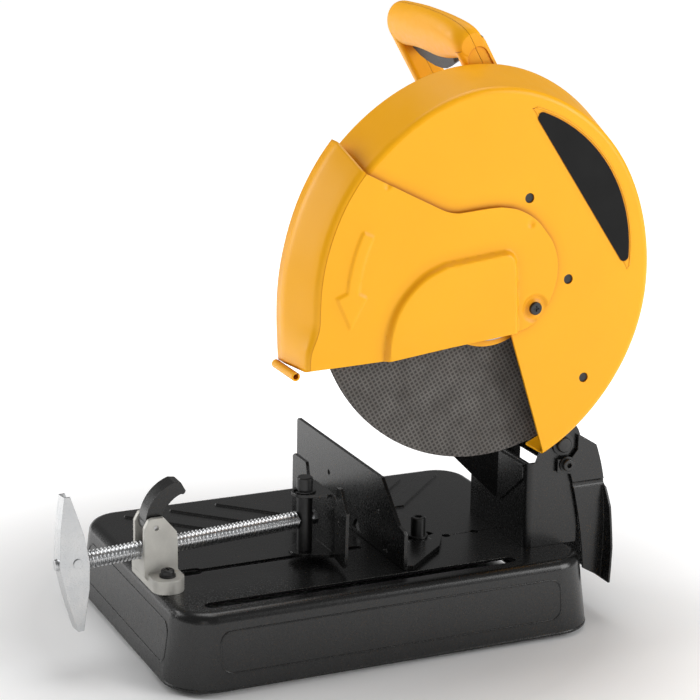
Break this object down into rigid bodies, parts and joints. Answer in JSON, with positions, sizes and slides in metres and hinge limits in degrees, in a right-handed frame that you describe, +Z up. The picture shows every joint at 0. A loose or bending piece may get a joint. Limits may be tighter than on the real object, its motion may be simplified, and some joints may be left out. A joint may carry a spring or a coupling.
{
  "type": "abrasive chop saw",
  "caption": "Bench cut-off saw: sheet base with screw vise and swivel fence, a hinged arm with geared motor, guarded abrasive wheel and D-handle.",
  "frame": {"origin": "middle of the whole saw's plan, on the floor under its feet", "axes": "+X towards the wheel side, -Y towards the operator, +Z up"},
  "size_m": [0.34, 0.6118, 0.6389],
  "materials": {
    "yellow_paint": "satin powder coat",
    "yellow_plastic": "satin moulded",
    "black_paint": "satin powder coat",
    "black_plastic": "fine texture",
    "rubber": "matte",
    "zinc": "bright zinc",
    "steel": "turned",
    "black_oxide": "black oxide",
    "cast_grey": "as cast",
    "abrasive": "resin bonded grit with glass mesh",
    "copper": "copper",
    "carbon": "graphite",
    "label": "gloss"
  },
  "bodies": {
    "root": {"base_pan": "black_paint", "rubber_feet": "rubber", "foot_posts": "zinc", "pivot_bracket": "black_paint", "spark_apron": "black_paint", "bracket_bolts": "black_oxide", "pivot_pin": "black_oxide", "pivot_clips": "black_oxide", "deflector_bolt": "black_oxide", "nut_block": "cast_grey", "block_screws": "black_oxide", "lever_pin": "steel", "fence_bolts": "black_oxide", "fence_nuts": "black_oxide", "arm_spring": "steel"},
    "arm": {"arm": "black_paint", "gear_case_cover": "cast_grey", "motor_housing": "black_plastic", "end_cap": "black_plastic", "cord_gland": "rubber", "field_stator": "steel", "brush_holders": "black_plastic", "carbon_brushes": "carbon", "ball_bearings": "steel", "fixed_guard": "yellow_paint", "label_plate": "label", "guard_spring": "steel", "handle_front": "yellow_plastic", "handle_rear": "yellow_plastic", "housing_screws": "black_oxide", "trigger_pin": "steel", "power_switch": "black_plastic", "lock_spring": "steel"},
    "spindle": {"spindle": "steel", "spindle_gear": "steel", "inner_flange": "steel", "abrasive_wheel": "abrasive", "outer_flange": "steel", "arbor_bolt": "black_oxide"},
    "armature": {"armature_shaft": "steel", "armature_core": "steel", "commutator": "copper", "cooling_fan": "black_plastic", "pinion": "steel"},
    "front_guard": {"front_guard": "yellow_paint", "guard_hub": "yellow_paint", "guard_screw": "black_oxide"},
    "trigger": {"trigger": "black_plastic"},
    "spindle_lock": {"spindle_lock": "black_plastic"},
    "vise_carriage": {"vise_pin": "black_oxide", "pin_clip": "black_oxide"},
    "vise_screw": {"vise_screw": "zinc", "screw_retainer": "zinc", "crank": "zinc", "crank_rivet": "zinc"},
    "jaw": {"vise_jaw": "black_paint"},
    "release_lever": {"release_lever": "black_paint", "half_nut": "steel"},
    "fence": {"fence": "black_paint"},
    "deflector": {"spark_deflector": "black_paint"}
  },
  "joints": [
    {"name": "arm_tilt", "type": "hinge", "parent": "root", "child": "arm", "pos_m": [0.048, 0.22544, 0.1926], "axis": [1, 0, 0], "range_deg": [0, 45], "stiffness_Nm_per_rad": 20, "springref_deg": -63.03},
    {"name": "spindle_spin", "type": "hinge", "parent": "arm", "child": "spindle", "pos_m": [0.1, 0.11304, 0.3788], "axis": [1, 0, 0], "continuous": true},
    {"name": "armature_spin", "type": "hinge", "parent": "arm", "child": "armature", "pos_m": [0, 0.159, 0.41737], "axis": [1, 0, 0], "continuous": true},
    {"name": "front_guard_swing", "type": "hinge", "parent": "arm", "child": "front_guard", "pos_m": [0.15, 0.11304, 0.3788], "axis": [1, 0, 0], "range_deg": [-22.5, 0]},
    {"name": "trigger_pull", "type": "hinge", "parent": "arm", "child": "trigger", "pos_m": [-0.046, 0.12179, 0.60542], "axis": [0, 0.866, 0.5], "range_deg": [-5, 0], "stiffness_Nm_per_rad": 2, "springref_deg": 14.32},
    {"name": "spindle_lock_press", "type": "slide", "parent": "arm", "child": "spindle_lock", "axis": [1, 0, 0], "range_m": [0, 0.005], "stiffness_N_per_m": 400, "springref_m": -0.004},
    {"name": "vise_slide", "type": "slide", "parent": "root", "child": "vise_carriage", "axis": [0, 0.9988, 0.0488], "range_m": [-0.0961, 0.0321]},
    {"name": "crank_turn", "type": "hinge", "parent": "vise_carriage", "child": "vise_screw", "pos_m": [0.051, -0.03956, 0.1251], "axis": [0, 0.9988, 0.0488], "range_deg": [-8640, 2880]},
    {"name": "jaw_swivel", "type": "hinge", "parent": "vise_carriage", "child": "jaw", "pos_m": [0.051, -0.03956, 0.1251], "axis": [0, 0, 1], "range_deg": [-12, 12]},
    {"name": "lever_lift", "type": "hinge", "parent": "root", "child": "release_lever", "pos_m": [0.051, -0.20616, 0.143], "axis": [1, 0, 0], "range_deg": [0, 40]},
    {"name": "fence_swing", "type": "hinge", "parent": "root", "child": "fence", "pos_m": [-0.02, 0.07844, 0.0847], "axis": [0, 0, 1], "range_deg": [-11, 24]},
    {"name": "deflector_tilt", "type": "hinge", "parent": "root", "child": "deflector", "pos_m": [0.116, 0.22894, 0.1714], "axis": [1, 0, 0], "range_deg": [-4, 12]}
  ],
  "couplings": [
    {"joint": "armature_spin", "follows": "spindle_spin", "ratio": -4},
    {"joint": "front_guard_swing", "follows": "arm_tilt", "ratio": -0.48889},
    {"joint": "vise_slide", "follows": "crank_turn", "m_per_rad": 0.00063662}
  ]
}
